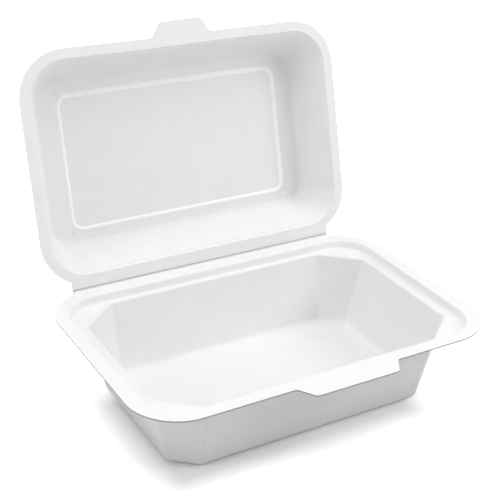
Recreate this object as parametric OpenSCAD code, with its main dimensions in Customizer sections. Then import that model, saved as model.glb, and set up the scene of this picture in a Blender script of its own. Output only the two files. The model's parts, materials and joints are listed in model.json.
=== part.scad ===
// A hinged lunch box moulded in one piece from sugar cane pulp: a deep tray with a stepped rim and cut
// corners, and a shallower lid that folds over it along a creased strip at the back.
// X runs left to right, the lip and tab are at the front (-Y), the fold is at the back (+Y), and Z is up.
// The origin is the middle of the tray's flat underside.

/* [Tray] */
// Length of the tray's rim, left to right
rim_l = 230; // [220:1:250]
// Depth of the tray's rim, front to back
rim_d = 150; // [144:1:165]
// Height of the rim's top above the table
tray_h = 51; // [42:1:60]
// Radius of the rim's corners
rim_r = 30; // [26:1:36]
// Width of the flat rim
rim_w = 8.5; // [7:0.5:9]
// Thickness of the tray's pulp
tray_t = 0.9; // [0.7:0.1:1.2]
// Drop of the step inside the rim
step_h = 4.5; // [3:0.5:6]
// How far the step leans inwards
step_lean = 1.5; // [1:0.1:2]
// Length of the tray's mouth, where the walls start
mouth_l = 197; // [190:1:200]
// Depth of the tray's mouth
mouth_d = 124; // [118:1:126]
// Length of the tray's floor
floor_l = 174; // [166:1:180]
// Depth of the tray's floor
floor_d = 103; // [96:1:106]

/* [Cut corners] */
// Width of the flat cut across each corner at the mouth
mouth_cut = 24; // [18:1:28]
// Width of the cut at the floor
floor_cut = 14; // [10:1:18]
// Depth of each cut as a share of its width
cut_share = 0.83; // [0.7:0.01:1]
// Radius that softens the two edges of each cut
cut_soft = 3; // [1:0.5:5]

/* [Lid] */
// Length of the lid's rim, left to right
lid_l = 218; // [210:1:224]
// Reach of the lid from the fold to its front edge
lid_reach = 144.5; // [140:0.5:150]
// Depth of the lid inside
lid_h = 27; // [20:1:32]
// Width of the lid's flat rim
lid_rim_w = 4.6; // [4:0.2:6]
// Thickness of the lid's pulp
lid_t = 0.7; // [0.5:0.1:1]
// Length of the lid's flat top
top_l = 186; // [176:1:192]
// Depth of the lid's flat top
top_d = 102; // [94:1:108]
// Radius of the flat top's corners
top_r = 12; // [8:1:16]
// Length of the bead pressed into the top
bead_l = 154; // [140:1:160]
// Depth of the bead's frame
bead_d = 84; // [70:1:88]
// Radius of the bead's corners
bead_r = 7; // [4:1:10]
// Width of the bead
bead_w = 2.4; // [1.6:0.2:4]
// Height of the bead
bead_h = 0.6; // [0.3:0.1:1]
// Width of the four round dimples outside the bead's corners
dimple_w = 4; // [3:0.5:5]

/* [Tab and lip] */
// Width of the lid's tab where it leaves the lid
tab_root = 40; // [36:1:46]
// Width of the tab at its end
tab_end = 28; // [24:1:34]
// Reach of the tab
tab_reach = 9.2; // [8:0.2:11]
// Width of the tray's lip where it leaves the rim
lip_root = 67; // [60:1:74]
// Width of the lip at its end
lip_end = 54; // [48:1:58]
// Reach of the lip
lip_reach = 10.2; // [8:0.2:13]
// Distance of the lip's middle to the right of the tray's middle
lip_shift = 5; // [-6:0.5:6]
// Radius of the tab's and lip's corners
ear_r = 2.5; // [1.5:0.5:4]

/* [Fold] */
// Angle between the rims, 0 when shut and 180 when flat
open_angle = 106; // [90:1:120]
// Length of the fold
fold_l = 185.5; // [170:0.5:190]
// Distance from the tray's rim to the fold
fold_strip = 2; // [1.5:0.1:3]
// Gap between the rims when shut
shut_gap = 0.3; // [0.2:0.05:0.5]
// Depth of the crease pressed beside the fold
crease_h = 0.25; // [0.1:0.05:0.4]

/* [Hidden] */
corner_n = 11;
fold_y = rim_d / 2 + fold_strip;
fold_gap = 0.2;
axis_z = tray_h + shut_gap / 2;
cut_turn = atan(1 / cut_share);
lid_d = lid_reach - fold_strip;
lid_mid = fold_strip + lid_d / 2;
lid_lean = atan((lid_l + lid_d - 4 * lid_rim_w - top_l - top_d) / 4 / lid_h);
step_lean_angle = atan(step_lean / step_h);
wall_lean = atan((mouth_l - floor_l) / 2 / (tray_h - step_h - tray_t));
overlap = 3;
crease_r = 2;
crease_from_fold = 4;
dimple_h = 0.35;
dimple_ball = (dimple_w * dimple_w / 4 + dimple_h * dimple_h) / 2 / dimple_h;
dimple_out = 1.7;
round_fn = 48;
// Size and number of steps of the curve at each fold of the pulp, from the rim inwards
tray_inside_eases = [[1, 3], [1, 3], [2.4, 4], [4.5, 5]];
tray_outside_eases = [[1.4, 3], [0.7, 3], [3, 4], [2, 4]];
bead_eases = [[0.5, 1], [0.8, 3], [0.5, 1]];
lid_inside_eases = concat([[1, 3], [6, 6]], bead_eases);
lid_outside_eases = concat([[1.4, 3], [5, 6]], bead_eases);

// Quarter outlines, from the side that faces +X round to the side that faces +Y
function round_corner(half, r) =
    [for (k = [0:corner_n]) let (a = 90 * k / corner_n) [half.x - r + r * cos(a), half.y - r + r * sin(a)]];

function cut_corner(half, cut) =
    let (
        m = (corner_n - 1) / 2,
        low = half.y - cut * cut_share - cut_soft * tan(cut_turn / 2),
        near = half.x - cut - cut_soft * tan((90 - cut_turn) / 2)
    )
    concat(
        [for (k = [0:m]) let (a = cut_turn * k / m)
            [half.x - cut_soft + cut_soft * cos(a), low + cut_soft * sin(a)]],
        [for (k = [0:m]) let (a = cut_turn + (90 - cut_turn) * k / m)
            [near + cut_soft * cos(a), half.y - cut_soft + cut_soft * sin(a)]]
    );

function whole_loop(quarter) =
    let (n = len(quarter) - 1)
    concat(
        quarter,
        [for (i = [n:-1:0]) [-quarter[i].x, quarter[i].y]],
        [for (p = quarter) -p],
        [for (i = [n:-1:0]) [quarter[i].x, -quarter[i].y]]
    );

// A station of the wall is [half length, half depth, height, corner radius, corner cut, share of cut]
function station(half, z, r, cut, share) = [half.x, half.y, z, r, cut, share];

function section(s) =
    let (
        half = [s[0], s[1]],
        rounded = round_corner(half, s[3]),
        cut = cut_corner(half, s[4]),
        mixed = [for (i = [0:corner_n]) rounded[i] * (1 - s[5]) + cut[i] * s[5]]
    )
    [for (p = whole_loop(mixed)) [p.x, p.y, s[2]]];

// Stations on a curve of n steps that eases the wall round station b, starting size before it
function eased(a, b, c, size, n) =
    let (
        into = b + (a - b) * min(0.49, size / norm([a[0] - b[0], a[2] - b[2]])),
        out = b + (c - b) * min(0.49, size / norm([c[0] - b[0], c[2] - b[2]]))
    )
    [for (i = [0:n]) let (s = i / n) into * (1 - s) * (1 - s) + b * 2 * s * (1 - s) + out * s * s];

// The path through all stations, each inner one eased by its own size and number of steps
function eased_path(stations, eases) =
    let (last = len(stations) - 1)
    concat(
        [stations[0]],
        [for (i = [1:last - 1]) let (ease = eases[i - 1])
            each eased(stations[i - 1], stations[i], stations[i + 1], ease[0], ease[1])],
        [stations[last]]
    );

// How far the outside of a leaning wall stands out from its inside, at the level of a flat t thick
function stand_out(lean, t) = t * (1 - sin(lean)) / cos(lean);

// The same station on the underside of pulp t thick
function underside(s, lean, t) =
    let (g = stand_out(lean, t), turn = cos(cut_turn) + sin(cut_turn) - 1)
    [s[0] + g, s[1] + g, s[2] - t, s[3] + g, s[4] + g * turn / sin(cut_turn) / cut_share, s[5]];

// A closed shell between an inside path and an outside path, both running from the rim to the middle
module shell(inside, outside) {
    rings = concat([for (i = [len(inside) - 1:-1:0]) section(inside[i])], [for (s = outside) section(s)]);
    n = len(rings[0]);
    last = len(rings) - 1;
    points = [for (ring = rings) each ring];
    bands = [for (j = [0:last - 1], i = [0:n - 1]) let (k = (i + 1) % n)
        [j * n + i, j * n + k, (j + 1) * n + k, (j + 1) * n + i]];
    floor_face = [for (i = [n - 1:-1:0]) i];
    under_face = [for (i = [0:n - 1]) last * n + i];
    polyhedron(points, concat([floor_face], bands, [under_face]), convexity = 8);
}

// A flat ear with rounded corners that stands out along +Y from an edge at y = 0
module ear(root, end, reach, t) {
    linear_extrude(t)
        difference() {
            offset(-ear_r, $fn = round_fn)
                offset(2 * ear_r, $fn = round_fn)
                    offset(-ear_r) {
                        polygon([[-root / 2, 0], [root / 2, 0], [end / 2, reach], [-end / 2, reach]]);
                        translate([-root, -root])
                            square([2 * root, root]);
                    }
            translate([-2 * root, -2 * root - overlap])
                square([4 * root, 2 * root]);
        }
}

// The strip between a rim and the fold at y = 0, running under the rim for a firm joint
module fold_strip_plate(t) {
    translate([-fold_l / 2, fold_gap, -t])
        cube([fold_l, fold_strip + overlap - fold_gap, t]);
}

// The crease pressed into the tray's rim beside the fold
module crease() {
    translate([-fold_l / 2, fold_y - crease_from_fold, tray_h + crease_r - crease_h])
        rotate([0, 90, 0])
            cylinder(h = fold_l, r = crease_r, $fn = round_fn);
}

module tray() {
    rim = station([rim_l, rim_d] / 2, tray_h, rim_r, mouth_cut, 0);
    rim_inner = rim - [rim_w, rim_w, 0, rim_w, 0, 0];
    step_foot = rim_inner - [step_lean, step_lean, step_h, step_lean, 0, 0];
    mouth = station([mouth_l, mouth_d] / 2, step_foot[2], step_foot[3], mouth_cut, 1);
    wall_foot = station([floor_l, floor_d] / 2, tray_t, step_foot[3], floor_cut, 1);
    floor_middle = station([floor_l, floor_d] / 4, tray_t, step_foot[3], floor_cut / 2, 1);
    inside = [rim, rim_inner, step_foot, mouth, wall_foot, floor_middle];
    outside = [
        rim - [0, 0, tray_t, 0, 0, 0],
        underside(rim_inner, step_lean_angle, tray_t),
        underside(step_foot, step_lean_angle, tray_t),
        underside(mouth, wall_lean, tray_t),
        underside(wall_foot, wall_lean, tray_t),
        floor_middle - [0, 0, tray_t, 0, 0, 0]
    ];
    color("white")
        difference() {
            union() {
                shell(
                    eased_path(inside, tray_inside_eases),
                    eased_path(outside, tray_outside_eases)
                );
                translate([lip_shift, -rim_d / 2, tray_h - tray_t])
                    mirror([0, 1, 0])
                        ear(lip_root, lip_end, lip_reach, tray_t);
                translate([0, fold_y, tray_h])
                    mirror([0, 1, 0])
                        fold_strip_plate(tray_t);
            }
            crease();
        }
}

// The lid as moulded, lying flat and opening upwards, with the fold's axis along X at the origin
module flat_lid() {
    rim = station([lid_l, lid_d] / 2, 0, rim_r, 0, 0);
    rim_inner = rim - [lid_rim_w, lid_rim_w, 0, lid_rim_w, 0, 0];
    top_edge = station([top_l, top_d] / 2, -lid_h, top_r, 0, 0);
    bead_crest = station([bead_l, bead_d] / 2, bead_h - lid_h, bead_r, 0, 0);
    bead_side = [bead_w, bead_w, 0, bead_w, 0, 0] / 2;
    bead_drop = [0, 0, bead_h, 0, 0, 0];
    bead = [bead_crest + bead_side - bead_drop, bead_crest, bead_crest - bead_side - bead_drop];
    top_middle = station([bead_l, bead_d] / 4, -lid_h, bead_r / 2, 0, 0);
    inside = concat([rim, rim_inner, top_edge], bead, [top_middle]);
    thick = [0, 0, lid_t, 0, 0, 0];
    outside = concat(
        [rim - thick, underside(rim_inner, lid_lean, lid_t), underside(top_edge, lid_lean, lid_t)],
        [for (s = bead) s - thick],
        [top_middle - thick]
    );
    difference() {
        translate([0, 0, -shut_gap / 2])
            union() {
                translate([0, lid_mid, 0])
                    shell(
                        eased_path(inside, lid_inside_eases),
                        eased_path(outside, lid_outside_eases)
                    );
                translate([0, lid_reach, -lid_t])
                    ear(tab_root, tab_end, tab_reach, lid_t);
                fold_strip_plate(lid_t);
            }
        for (x = [-1, 1], y = [-1, 1])
            translate([
                x * (bead_l / 2 + dimple_out),
                lid_mid + y * (bead_d / 2 + dimple_out),
                dimple_ball - dimple_h - lid_h - shut_gap / 2
            ])
                sphere(dimple_ball, $fn = round_fn);
    }
}

module lid() {
    color("white")
        translate([0, fold_y, axis_z])
            rotate([180 - open_angle, 0, 0])
                flat_lid();
}

tray();
lid();
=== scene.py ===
import json
import math

import bmesh
import bpy
from mathutils import Matrix, Vector, noise


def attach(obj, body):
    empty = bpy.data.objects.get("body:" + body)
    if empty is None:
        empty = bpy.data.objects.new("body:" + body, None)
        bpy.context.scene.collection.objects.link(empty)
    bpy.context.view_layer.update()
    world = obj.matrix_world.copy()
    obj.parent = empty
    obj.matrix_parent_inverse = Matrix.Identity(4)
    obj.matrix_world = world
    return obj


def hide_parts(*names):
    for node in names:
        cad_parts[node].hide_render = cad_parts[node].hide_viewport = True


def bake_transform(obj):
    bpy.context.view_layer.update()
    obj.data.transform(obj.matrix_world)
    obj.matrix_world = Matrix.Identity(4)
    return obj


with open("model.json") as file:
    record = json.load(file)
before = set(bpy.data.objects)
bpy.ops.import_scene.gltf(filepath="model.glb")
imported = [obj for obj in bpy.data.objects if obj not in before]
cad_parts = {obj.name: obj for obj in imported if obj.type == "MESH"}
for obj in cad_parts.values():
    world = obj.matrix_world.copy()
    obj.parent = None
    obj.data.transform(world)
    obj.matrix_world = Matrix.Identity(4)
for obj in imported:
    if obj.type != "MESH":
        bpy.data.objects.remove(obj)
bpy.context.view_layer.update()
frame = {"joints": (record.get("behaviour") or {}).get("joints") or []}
mm = 0.001

# The box stands open on a table and is seen from the front left and above. The eye's place and the
# turn of its view were fitted to the box's straight edges.
eye = Vector((-318.73, -491.90, 385.02)) * mm
view_azimuth, view_elevation, view_roll = math.radians(-31.64), math.radians(26.48), math.radians(2.56)

camera = bpy.data.objects.new("camera", bpy.data.cameras.new("camera"))
camera.data.lens = 81.77
camera.data.clip_start = 0.02
camera.data.clip_end = 20
turn = Matrix.Rotation(view_azimuth, 4, "Z") @ Matrix.Rotation(math.pi / 2 - view_elevation, 4, "X")
camera.matrix_world = Matrix.Translation(eye) @ turn @ Matrix.Rotation(view_roll, 4, "Z")
bpy.context.scene.collection.objects.link(camera)
bpy.context.scene.camera = camera


# The tray is the deep half. It is pressed from wet cane pulp between a mesh mould and a smooth one,
# dried hot, and trimmed round its rim. A step inside the rim seats the lid, and each corner of the
# well is cut flat.
rim_l, rim_d, rim_r, rim_w = 230 * mm, 150 * mm, 30 * mm, 8.5 * mm
step_h, step_lean = 4.5 * mm, 1.5 * mm
mouth_l, mouth_d, mouth_cut = 197 * mm, 124 * mm, 24 * mm
floor_l, floor_d, floor_cut = 174 * mm, 103 * mm, 14 * mm
flat_l, flat_d, flat_cut = 156 * mm, 85 * mm, 11 * mm
cut_share, cut_soft = 0.83, 1.3 * mm
tray_t = 0.9 * mm
tray_h = 51 * mm
lip_root, lip_end, lip_reach, lip_shift = 67 * mm, 54 * mm, 10.2 * mm, 5 * mm
ear_r, ear_row = 3.2 * mm, 0.28 * mm
fold_y = frame["joints"][0]["pos_m"][1]
axis_z = frame["joints"][0]["pos_m"][2]
fold_l = 185.5 * mm
crease_half = 0.8 * mm
level_play, fold_play, lowest_wall = 0.3 * mm, 0.4 * mm, 10 * mm
corner_steps, long_cuts, short_cuts, wall_cuts = 23, 23, 15, 7
held_apart = 100 * mm
warp, warp_size = 0.4 * mm, 45 * mm


def ease(t):
    t = min(max(t, 0), 1)
    return t * t * (3 - 2 * t)


def outline(shell, length, depth, z, corner, cut=0):
    """Adds a level outline of loose edges, with corners rounded, or cut flat and softened."""
    before = set(shell.edges)
    share = cut_share if cut else 1
    place = Matrix.Translation((0, 0, z)) @ Matrix.Diagonal((length / 2, depth / share / 2, 1, 1))
    corners = bmesh.ops.create_grid(shell, x_segments=1, y_segments=1, size=1, matrix=place)["verts"]
    steps = corner_steps
    if cut:
        corners = bmesh.ops.bevel(
            shell, geom=corners, offset=cut, segments=1, profile=0.5, affect="VERTICES", material=-1
        )["verts"]
        bmesh.ops.scale(shell, vec=(1, share, 1), verts=corners)
        steps = corner_steps // 2
    corners = bmesh.ops.bevel(
        shell, geom=corners, offset=corner, segments=steps, profile=0.5, affect="VERTICES", material=-1
    )["verts"]
    bmesh.ops.delete(shell, geom=[corners[0].link_faces[0]], context="FACES_ONLY")
    straights = sorted(set(shell.edges) - before, key=lambda e: e.calc_length())[-4:]
    for edge, cuts in zip(straights, (short_cuts, short_cuts, long_cuts, long_cuts)):
        bmesh.ops.subdivide_edges(shell, edges=[edge], cuts=cuts)
    return [e for e in shell.edges if e not in before]


def join_outlines(shell, outlines, folds):
    """Bridges the outlines in turn, closes the last one, rounds each fold and cuts the walls in rows."""
    held = [list({v for e in edges for v in e.verts}) for edges in outlines]
    for k, verts in enumerate(held):
        bmesh.ops.translate(shell, vec=(0, 0, -k * held_apart), verts=verts)
    for upper, lower in zip(outlines, outlines[1:]):
        bmesh.ops.bridge_loops(shell, edges=upper + lower)
    for k, verts in enumerate(held):
        bmesh.ops.translate(shell, vec=(0, 0, k * held_apart), verts=verts)
    bmesh.ops.contextual_create(shell, geom=outlines[-1])
    bmesh.ops.recalc_face_normals(shell, faces=list(shell.faces))
    middle = min(shell.faces, key=lambda f: f.calc_center_median().xy.length)
    if middle.normal.z < 0:
        bmesh.ops.reverse_faces(shell, faces=list(shell.faces))
    for edges, (size, steps) in zip(outlines[1:], folds):
        bmesh.ops.bevel(
            shell, geom=edges, offset=size, segments=steps, profile=0.5, affect="EDGES", material=-1
        )
    tall = [e for e in shell.edges if abs(e.verts[0].co.z - e.verts[1].co.z) > lowest_wall]
    bmesh.ops.subdivide_edges(shell, edges=tall, cuts=wall_cuts, use_grid_fill=True)


def ear_rows(root, end, reach):
    """Half width and reach of each row of an ear, whose flank is rounded at its foot and at its end."""
    flank = bmesh.new()
    path = ((root, 0, 0), (root / 2, 0, 0), (end / 2, reach, 0), (0, reach, 0))
    spots = [flank.verts.new(place) for place in path]
    for a, b in zip(spots, spots[1:]):
        flank.edges.new((a, b))
    softness = ear_r * math.tan(math.atan2(reach, (root - end) / 2) / 2)
    bmesh.ops.bevel(
        flank, geom=spots[1:3], offset=softness, segments=24, profile=0.5, affect="VERTICES", material=-1
    )
    # The path's first spot, out on the straight rim, is left out, and so is its last, on the middle.
    *finer, last = sorted((v.co.y, v.co.x) for v in flank.verts if 0 < v.co.x < 0.9 * root)
    flank.free()
    rows = finer[:1]
    for row in finer:
        if row[0] - rows[-1][0] > ear_row and last[0] - row[0] > ear_row:
            rows.append(row)
    return rows + [last]


def add_ear(shell, edge_y, root, end, reach, shift=0):
    """Draws a lip or tab outwards from the straight edge of a rim, one row after another."""
    rows = ear_rows(root, end, reach)
    outwards = math.copysign(1, edge_y)
    on_edge = [v for v in shell.verts if v.is_boundary and abs(v.co.y - edge_y) < 1e-6]
    for side in (-1, 1):
        corner_x = shift + side * rows[0][1]
        nearest = min(on_edge, key=lambda v: abs(v.co.x - corner_x))
        nearest.co.x = corner_x
    row_verts = [v for v in on_edge if abs(v.co.x - shift) <= rows[0][1] + 1e-6]
    row = [e for e in shell.edges if e.is_boundary and all(v in row_verts for v in e.verts)]
    about_middle = Matrix.Translation((-shift, 0, 0))
    for (y, wide), (next_y, next_wide) in zip(rows, rows[1:]):
        made = bmesh.ops.extrude_edge_only(shell, edges=row)["geom"]
        row_verts = [g for g in made if isinstance(g, bmesh.types.BMVert)]
        edges = [g for g in made if isinstance(g, bmesh.types.BMEdge)]
        row = [e for e in edges if all(v in row_verts for v in e.verts)]
        bmesh.ops.scale(shell, vec=(next_wide / wide, 1, 1), space=about_middle, verts=row_verts)
        bmesh.ops.translate(shell, vec=(0, outwards * (next_y - y), 0), verts=row_verts)


def draw_to_fold(shell, rim_y, end_y):
    """Draws the rim's back edge out to the crease."""
    inwards = math.copysign(1, rim_y)
    row = [
        e
        for e in shell.edges
        if e.is_boundary
        and all(abs(v.co.x) < fold_l / 2 + fold_play and v.co.y * inwards > 0 for v in e.verts)
    ]
    made = bmesh.ops.extrude_edge_only(shell, edges=row)["geom"]
    for v in made:
        if isinstance(v, bmesh.types.BMVert):
            v.co.y = end_y


def cut_near(shell, x, y, z, half_l, half_d, places, normal):
    """Cuts the level faces round a place by parallel planes, to give a press mark its own net."""
    for place in places:
        near = [
            f
            for f in shell.faces
            if all(abs(v.co.z - z) < level_play for v in f.verts)
            and min(v.co.x for v in f.verts) < x + half_l
            and max(v.co.x for v in f.verts) > x - half_l
            and min(v.co.y for v in f.verts) < y + half_d
            and max(v.co.y for v in f.verts) > y - half_d
        ]
        edges = {e for f in near for e in f.edges}
        verts = {v for f in near for v in f.verts}
        parts = near + list(edges) + list(verts)
        bmesh.ops.bisect_plane(shell, geom=parts, plane_co=place, plane_no=normal, dist=1e-6)


def press_line(shell, y, z, width, depth):
    """Presses a groove, or with a negative depth a welt, along the rim beside the fold."""
    half = width / 2
    places = [(0, y + k * half / 3, z) for k in range(-3, 4)]
    cut_near(shell, 0, y, z, fold_l / 2, half, places, (0, 1, 0))
    for v in shell.verts:
        off = abs(v.co.y - y) / half
        if off < 1 and abs(v.co.z - z) < level_play:
            v.co.z -= depth * (1 - off * off) ** 2 * ease((fold_l / 2 - abs(v.co.x)) / (6 * mm))


def press_round(shell, x, y, z, width, depth):
    """Presses a round dimple into a level face."""
    half = width / 2
    steps = [k * half / 4 for k in range(-4, 5)]
    cut_near(shell, x, y, z, half, half, [(x + s, y, z) for s in steps], (1, 0, 0))
    cut_near(shell, x, y, z, half, half, [(x, y + s, z) for s in steps], (0, 1, 0))
    for v in shell.verts:
        off = math.hypot(v.co.x - x, v.co.y - y) / half
        if off < 1 and abs(v.co.z - z) < level_play:
            v.co.z -= depth * (1 - off * off) ** 2


def wander(shell, give):
    """Lets the skin drift a little, as pulp does when it dries, but never out of its own box."""
    low, high = ([pick(v.co[k] for v in shell.verts) for k in range(3)] for pick in (min, max))
    for v in shell.verts:
        drift = noise.noise_vector(v.co / warp_size) * warp * give(v.co)
        drift.z *= 0.25
        v.co = [min(max(v.co[k] + drift[k], low[k]), high[k]) for k in range(3)]


def piece_from(shell, name, thickness, edge_round):
    """Makes a piece from a moulding's food side, with its thickness behind it and a trimmed edge."""
    mesh = bpy.data.meshes.new(name)
    shell.to_mesh(mesh)
    shell.free()
    mesh.shade_smooth()
    piece = bpy.data.objects.new(name, mesh)
    bpy.context.scene.collection.objects.link(piece)
    wall = piece.modifiers.new("wall", "SOLIDIFY")
    wall.thickness = thickness
    wall.offset = -1
    # The outside and the trimmed edge take the finishes after the food side's; both are painted darker as
    # painted shade.
    wall.material_offset = 1
    # The trimmed edge's faces take the dark grey finish, which is painted shade.
    wall.material_offset_rim = 2
    trim = piece.modifiers.new("trimmed_edge", "BEVEL")
    trim.width = edge_round
    trim.segments = 2
    trim.limit_method = "ANGLE"
    trim.angle_limit = math.radians(60)
    flats = piece.modifiers.new("true_flats", "WEIGHTED_NORMAL")
    flats.weight = 100
    return piece


def tray_give(place):
    return ease((place.z - 3 * mm) / (25 * mm)) * ease((fold_y - crease_half - place.y) / (20 * mm))


tray_skin = bmesh.new()
foot_z = tray_h - step_h
step_in = rim_w + step_lean
tray_outlines = [
    outline(tray_skin, rim_l, rim_d, tray_h, rim_r),
    outline(tray_skin, rim_l - 2 * rim_w, rim_d - 2 * rim_w, tray_h, rim_r - rim_w),
    outline(tray_skin, rim_l - 2 * step_in, rim_d - 2 * step_in, foot_z, rim_r - step_in),
    outline(tray_skin, mouth_l, mouth_d, foot_z, cut_soft, mouth_cut),
    outline(tray_skin, floor_l, floor_d, tray_t, cut_soft, floor_cut),
    outline(tray_skin, flat_l, flat_d, tray_t, cut_soft, flat_cut),
]
tray_folds = ((0.8 * mm, 4), (0.5 * mm, 3), (1.3 * mm, 4), (3.6 * mm, 6))
join_outlines(tray_skin, tray_outlines, tray_folds)
add_ear(tray_skin, -rim_d / 2, lip_root, lip_end, lip_reach, lip_shift)
draw_to_fold(tray_skin, rim_d / 2, fold_y - crease_half)
press_line(tray_skin, fold_y - 4 * mm, tray_h, 2.2 * mm, 0.25 * mm)
press_line(tray_skin, fold_y - 1.75 * mm, tray_h, 1.4 * mm, -0.12 * mm)
wander(tray_skin, tray_give)
tray = piece_from(tray_skin, "tray_shell", tray_t, 0.2 * mm)


# The white cane pulp is cloudy, with short curled fibres and a few stray specks. The food side is
# pressed smooth, and the outside keeps a faint print of the wire mesh that the pulp drained through.
# The outside is painted darker than the food side, as painted shade. The trimmed edge and the crease
# are painted grey, as painted shade, and the bead is painted lighter, as a painted highlight.
pulp_white = (0.79, 0.79, 0.784, 1)
# The outside is the same pulp, painted darker as painted shade on the box's outside.
outside_shaded_white = (0.68, 0.68, 0.675, 1)
# The trimmed edge is painted dark grey, as painted shade along the rim's edge.
edge_shade_grey = (0.3, 0.3, 0.297, 1)
# The bead is painted lighter, as a painted highlight where it catches the light.
bead_highlight_white = (0.9, 0.9, 0.895, 1)
# The crease is painted grey, as painted shade in the fold.
crease_shade_grey = (0.6, 0.6, 0.59, 1)


def node_in(tree, kind, settings=None, **inputs):
    made = tree.nodes.new(kind)
    for name, value in (settings or {}).items():
        setattr(made, name, value)
    for name, value in inputs.items():
        socket = made.inputs[int(name[1:]) if name[1:].isdigit() else name.replace("_", " ")]
        if isinstance(value, bpy.types.NodeSocket):
            tree.links.new(value, socket)
        else:
            socket.default_value = value
    return made


def sum_of(tree, operation, a, b=0.0):
    return node_in(tree, "ShaderNodeMath", {"operation": operation}, i0=a, i1=b).outputs[0]


def band_of(tree, value, low, high):
    """1 at low and below, 0 at high and above."""
    settings = {"interpolation_type": "SMOOTHSTEP", "clamp": True}
    made = node_in(tree, "ShaderNodeMapRange", settings, Value=value, From_Min=low, From_Max=high)
    made.inputs["To Min"].default_value, made.inputs["To Max"].default_value = 1, 0
    return made.outputs[0]


cane_pulp = bpy.data.node_groups.new("cane_pulp", "ShaderNodeTree")
for name, kind in (("Tone", "Color"), ("Cloud", "Float"), ("Fibre", "Float"), ("Mesh", "Float")):
    cane_pulp.interface.new_socket(name, in_out="INPUT", socket_type="NodeSocket" + kind)
for name, kind in (("Color", "Color"), ("Roughness", "Float"), ("Height", "Float")):
    cane_pulp.interface.new_socket(name, in_out="OUTPUT", socket_type="NodeSocket" + kind)
given = cane_pulp.nodes.new("NodeGroupInput")
place = node_in(cane_pulp, "ShaderNodeTexCoord").outputs["Object"]
clouds = node_in(cane_pulp, "ShaderNodeTexNoise", Vector=place, Scale=70, Detail=4).outputs[0]
grain = node_in(cane_pulp, "ShaderNodeTexNoise", Vector=place, Scale=1400, Detail=2).outputs[0]
fibres = None
for size, shift in ((240, 0.0), (330, 0.37)):
    moved = node_in(cane_pulp, "ShaderNodeMapping", Vector=place, Location=(shift, 0, shift))
    curls = node_in(
        cane_pulp, "ShaderNodeTexNoise", Vector=moved.outputs[0], Scale=size, Detail=1, Distortion=1.5
    )
    off = sum_of(cane_pulp, "ABSOLUTE", sum_of(cane_pulp, "SUBTRACT", curls.outputs[0], 0.5))
    line = band_of(cane_pulp, off, 0.0, 0.02)
    fibres = line if fibres is None else sum_of(cane_pulp, "MAXIMUM", fibres, line)
specks = node_in(cane_pulp, "ShaderNodeTexVoronoi", Vector=place, Scale=150)
specks = band_of(cane_pulp, specks.outputs["Distance"], 0.02, 0.045)
wires = node_in(cane_pulp, "ShaderNodeTexVoronoi", Vector=place, Scale=1200, Randomness=0.2)
wires = sum_of(cane_pulp, "MULTIPLY", wires.outputs["Distance"], given.outputs["Mesh"])
lift = sum_of(cane_pulp, "MULTIPLY", sum_of(cane_pulp, "SUBTRACT", clouds, 0.5), given.outputs["Cloud"])
strands = sum_of(cane_pulp, "MULTIPLY", fibres, given.outputs["Fibre"])
lift = sum_of(cane_pulp, "ADD", lift, sum_of(cane_pulp, "MULTIPLY", strands, 0.03))
lift = sum_of(cane_pulp, "SUBTRACT", lift, sum_of(cane_pulp, "MULTIPLY", specks, 0.1))
lift = sum_of(cane_pulp, "ADD", lift, 1.0)
tone = given.outputs["Tone"]
tinted = node_in(cane_pulp, "ShaderNodeVectorMath", {"operation": "SCALE"}, i0=tone, Scale=lift)
rough = sum_of(cane_pulp, "ADD", sum_of(cane_pulp, "MULTIPLY", grain, 0.16), 0.52)
height = sum_of(cane_pulp, "MULTIPLY", grain, 0.5)
height = sum_of(cane_pulp, "ADD", height, sum_of(cane_pulp, "MULTIPLY", strands, 0.35))
height = sum_of(cane_pulp, "ADD", height, wires)
node_in(cane_pulp, "NodeGroupOutput", Color=tinted.outputs[0], Roughness=rough, Height=height)


def pulp_finish(name, tone, cloud, fibre, mesh, relief):
    finish = bpy.data.materials.new(name)
    finish.use_nodes = True
    tree = finish.node_tree
    skin = tree.nodes["Principled BSDF"]
    skin.inputs["Specular IOR Level"].default_value = 0.35
    pulp = node_in(
        tree, "ShaderNodeGroup", {"node_tree": cane_pulp}, Tone=tone, Cloud=cloud, Fibre=fibre, Mesh=mesh
    )
    bump = node_in(tree, "ShaderNodeBump", Height=pulp.outputs["Height"], Strength=1.0, Distance=relief)
    tree.links.new(pulp.outputs["Color"], skin.inputs["Base Color"])
    tree.links.new(pulp.outputs["Roughness"], skin.inputs["Roughness"])
    tree.links.new(bump.outputs[0], skin.inputs["Normal"])
    return finish


pressed_face = pulp_finish("pulp_pressed_face", pulp_white, 0.06, 1.0, 0.0, 0.03 * mm)
# The outside's finish: the mesh print, with its tone painted darker as painted shade.
mesh_face_shaded = pulp_finish("pulp_mesh_face_painted_shade", outside_shaded_white, 0.08, 1.0, 1.0, 0.06 * mm)
cut_edge_shade = pulp_finish("pulp_cut_edge_painted_shade", edge_shade_grey, 0.1, 1.0, 0.0, 0.05 * mm)
bead_highlight = pulp_finish("pulp_bead_painted_highlight", bead_highlight_white, 0.03, 0.5, 0.0, 0.02 * mm)
crease_shade = pulp_finish("pulp_crease_painted_shade", crease_shade_grey, 0.1, 1.0, 0.0, 0.05 * mm)
# The tray's finishes: food side, the outside in painted shade, and the trimmed edge in painted shade.
for finish in (pressed_face, mesh_face_shaded, cut_edge_shade):
    tray.data.materials.append(finish)
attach(tray, "tray")
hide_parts("tray")


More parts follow.
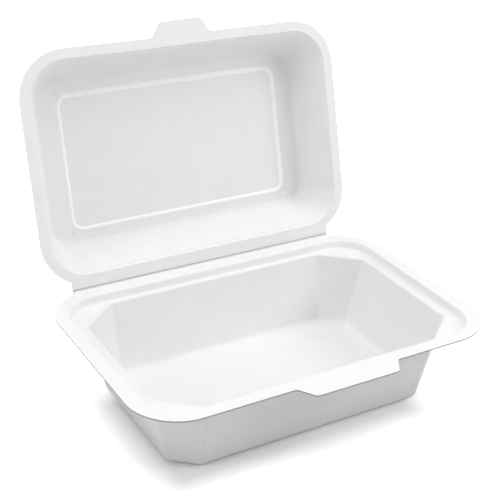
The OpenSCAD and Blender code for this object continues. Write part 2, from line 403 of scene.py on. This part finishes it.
# The lid is the shallow half, pressed together with the tray in one sheet. A narrow seat step runs
# inside its rim, a bead frames its flat top, four dimples from the mould's pins sit outside the bead's
# corners, and a tab closes over the lip.
lid_l, lid_reach, lid_r, lid_rim_w = 218 * mm, 144.5 * mm, 30 * mm, 6.6 * mm
lid_h, lid_t = 27 * mm, 0.7 * mm
fold_strip = fold_y - rim_d / 2
lid_d = lid_reach - fold_strip
top_l, top_d, top_r = 186 * mm, 102 * mm, 12 * mm
seat_in, seat_down, seat_w, seat_fall = 0.4 * mm, 1.4 * mm, 0.9 * mm, 0.2 * mm
bead_l, bead_d, bead_r, bead_w, bead_h = 154 * mm, 84 * mm, 7 * mm, 3.2 * mm, 1 * mm
dimple_w, dimple_h, dimple_out = 4 * mm, 0.6 * mm, 1.7 * mm
tab_root, tab_end, tab_reach = 40 * mm, 28 * mm, 9.2 * mm
shut_gap_half = axis_z - tray_h
open_angle = -math.radians(frame["joints"][0]["range_deg"][0])


def lid_give(place):
    return ease((place.z + lid_h - 3 * mm) / (20 * mm)) * ease((place.y + lid_d / 2) / (20 * mm))


lid_skin = bmesh.new()
inner_l, inner_d = lid_l - 2 * lid_rim_w, lid_d - 2 * lid_rim_w
seat_l, seat_d, seat_r = inner_l - 2 * seat_in, inner_d - 2 * seat_in, lid_r - lid_rim_w - seat_in
wall_l, wall_d, wall_r = seat_l - 2 * seat_w, seat_d - 2 * seat_w, seat_r - seat_w
lid_outlines = [
    outline(lid_skin, lid_l, lid_d, 0, lid_r),
    outline(lid_skin, inner_l, inner_d, 0, lid_r - lid_rim_w),
    outline(lid_skin, seat_l, seat_d, -seat_down, seat_r),
    outline(lid_skin, wall_l, wall_d, -seat_down - seat_fall, wall_r),
    outline(lid_skin, top_l, top_d, -lid_h, top_r),
    outline(lid_skin, bead_l + bead_w, bead_d + bead_w, -lid_h, bead_r + bead_w / 2),
    outline(lid_skin, bead_l, bead_d, bead_h - lid_h, bead_r),
    outline(lid_skin, bead_l - bead_w, bead_d - bead_w, -lid_h, bead_r - bead_w / 2),
]
lid_folds = (
    (0.7 * mm, 4),
    (0.35 * mm, 3),
    (0.5 * mm, 3),
    (2.8 * mm, 6),
    (0.4 * mm, 2),
    (0.7 * mm, 4),
    (0.4 * mm, 2),
)
join_outlines(lid_skin, lid_outlines, lid_folds)
bead_reach_x, bead_reach_y = bead_l / 2 + bead_w, bead_d / 2 + bead_w
# The bead's raised faces take the fourth finish, painted lighter as a painted highlight.
for f in lid_skin.faces:
    framed = all(abs(v.co.x) < bead_reach_x and abs(v.co.y) < bead_reach_y for v in f.verts)
    if framed and f.calc_center_median().z > bead_h / 10 - lid_h:
        f.material_index = 3
add_ear(lid_skin, lid_d / 2, tab_root, tab_end, tab_reach)
draw_to_fold(lid_skin, -lid_d / 2, crease_half - fold_strip - lid_d / 2)
for side in (-1, 1):
    for end in (-1, 1):
        x, y = side * (bead_l / 2 + dimple_out), end * (bead_d / 2 + dimple_out)
        press_round(lid_skin, x, y, -lid_h, dimple_w, dimple_h)
wander(lid_skin, lid_give)
flat_place = Matrix.Translation((0, fold_strip + lid_d / 2, -shut_gap_half))
lid_turn = math.pi - open_angle
lid_place = Matrix.Translation((0, fold_y, axis_z)) @ Matrix.Rotation(lid_turn, 4, "X") @ flat_place
lid_skin.transform(lid_place)
lid = piece_from(lid_skin, "lid_shell", lid_t, 0.2 * mm)
# The lid's finishes: food side, outside in painted shade, trimmed edge in painted shade, bead in painted
# highlight, bead's outside in painted shade.
for finish in (pressed_face, mesh_face_shaded, cut_edge_shade, bead_highlight, mesh_face_shaded):
    lid.data.materials.append(finish)
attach(lid, "lid")
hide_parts("lid")


# The crease joins the two halves. The pulp is crushed thin along it while still damp, so that it bends
# there like a hinge, and it stays a little below the rim. It is painted grey, as painted shade in the
# fold, so that it shows as a fine dark line.
web_t, web_drop, web_reach = 0.3 * mm, 0.5 * mm, 2 * mm
web = bmesh.new()
web_size = Matrix.Diagonal((fold_l / 2, web_reach, 1, 1))
bmesh.ops.create_grid(web, x_segments=60, y_segments=24, size=1, matrix=web_size)
bmesh.ops.translate(web, vec=(0, 0, web_t / 2 - web_drop), verts=list(web.verts))
bmesh.ops.solidify(web, geom=list(web.faces), thickness=web_t)
for v in web.verts:
    bend = lid_turn * ease((v.co.y + crease_half) / (2 * crease_half))
    v.co = Vector((0, fold_y, axis_z)) + Matrix.Rotation(bend, 3, "X") @ v.co
bmesh.ops.recalc_face_normals(web, faces=list(web.faces))
crease = bpy.data.meshes.new("fold_crease")
web.to_mesh(crease)
web.free()
crease.shade_smooth()
crease = bpy.data.objects.new("fold_crease", crease)
bpy.context.scene.collection.objects.link(crease)
# The crease takes the grey finish, painted as shade in the fold.
crease.data.materials.append(crease_shade)
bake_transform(crease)


# The box stands on a plain white sweep under soft studio light. The sweep glows white for the eye, but
# the glow fades out round the tray's foot, over an area shifted a little to the left and the front. That
# fade is painted shadow, and inside it the lamps' own shadow of the box shows.
shade_shift = (12 * mm, 17.7 * mm, 0)
shade_half = (75 * mm, 39.8 * mm, 0)
shade_reach, shade_glow, studio_light = 41 * mm, 0.04, 0.44
floor = bpy.data.meshes.new("floor")
ground = bmesh.new()
bmesh.ops.create_grid(ground, x_segments=1, y_segments=1, size=6)
ground.to_mesh(floor)
ground.free()
floor = bpy.data.objects.new("floor", floor)
bpy.context.scene.collection.objects.link(floor)


def seen_straight(tree):
    """1 for what the eye sees, straight or in a gloss or through glass, and 0 for the light that falls."""
    rays = node_in(tree, "ShaderNodeLightPath").outputs
    seen = sum_of(tree, "MAXIMUM", rays["Is Camera Ray"], rays["Is Glossy Ray"])
    return sum_of(tree, "MAXIMUM", seen, rays["Is Transmission Ray"])


white = bpy.data.materials.new("white_sweep")
white.use_nodes = True
tree = white.node_tree
paint = tree.nodes["Principled BSDF"]
paint.inputs["Base Color"].default_value = (0.85, 0.85, 0.85, 1)
paint.inputs["Roughness"].default_value = 0.9
paint.inputs["Specular IOR Level"].default_value = 0.1
past = node_in(tree, "ShaderNodeTexCoord").outputs["Object"]
for operation, other in (
    ("ADD", shade_shift),
    ("ABSOLUTE", (0, 0, 0)),
    ("SUBTRACT", shade_half),
    ("MAXIMUM", (0, 0, 0)),
):
    past = node_in(tree, "ShaderNodeVectorMath", {"operation": operation}, i0=past, i1=other).outputs[0]
past = node_in(tree, "ShaderNodeVectorMath", {"operation": "LENGTH"}, i0=past).outputs["Value"]
# The glow fades towards the box, as painted shadow.
reach = node_in(tree, "ShaderNodeMapRange", Value=past)
for name, value in (("From Min", 0), ("From Max", shade_reach), ("To Min", shade_glow), ("To Max", 1.0)):
    reach.inputs[name].default_value = value
glow = node_in(tree, "ShaderNodeEmission", Strength=reach.outputs[0])
lifted = node_in(tree, "ShaderNodeAddShader", i0=paint.outputs[0], i1=glow.outputs[0])
seen = seen_straight(tree)
both = node_in(tree, "ShaderNodeMixShader", i0=seen, i1=paint.outputs[0], i2=lifted.outputs[0])
tree.links.new(both.outputs[0], tree.nodes["Material Output"].inputs["Surface"])
floor.data.materials.append(white)

world = bpy.data.worlds.new("studio")
bpy.context.scene.world = world
world.use_nodes = True
tree = world.node_tree
strength = node_in(tree, "ShaderNodeMapRange", Value=seen_straight(tree))
strength.inputs["To Min"].default_value, strength.inputs["To Max"].default_value = studio_light, 1.0
tree.links.new(strength.outputs[0], tree.nodes["Background"].inputs["Strength"])
tree.nodes["Background"].inputs["Color"].default_value = (1, 1, 1, 1)


def softbox(name, place, size, power):
    """A round lamp that faces the box."""
    lamp = bpy.data.lights.new(name, "AREA")
    lamp.shape = "DISK"
    lamp.size = size
    lamp.energy = power
    box = bpy.data.objects.new(name, lamp)
    direction = Vector((0, 0.03, 0.05)) - Vector(place)
    box.matrix_world = Matrix.Translation(place) @ direction.to_track_quat("-Z", "Y").to_matrix().to_4x4()
    bpy.context.scene.collection.objects.link(box)


softbox("overhead", (0, 0, 1.3), 1.2, 7.4)
softbox("behind", (0, 1.2, 1.1), 0.8, 5.2)
softbox("left", (-1.3, -0.1, 0.7), 0.8, 4.4)
softbox("front_right", (1.1, -0.8, 1.0), 0.8, 9.8)
bpy.context.scene.view_settings.view_transform = "Standard"
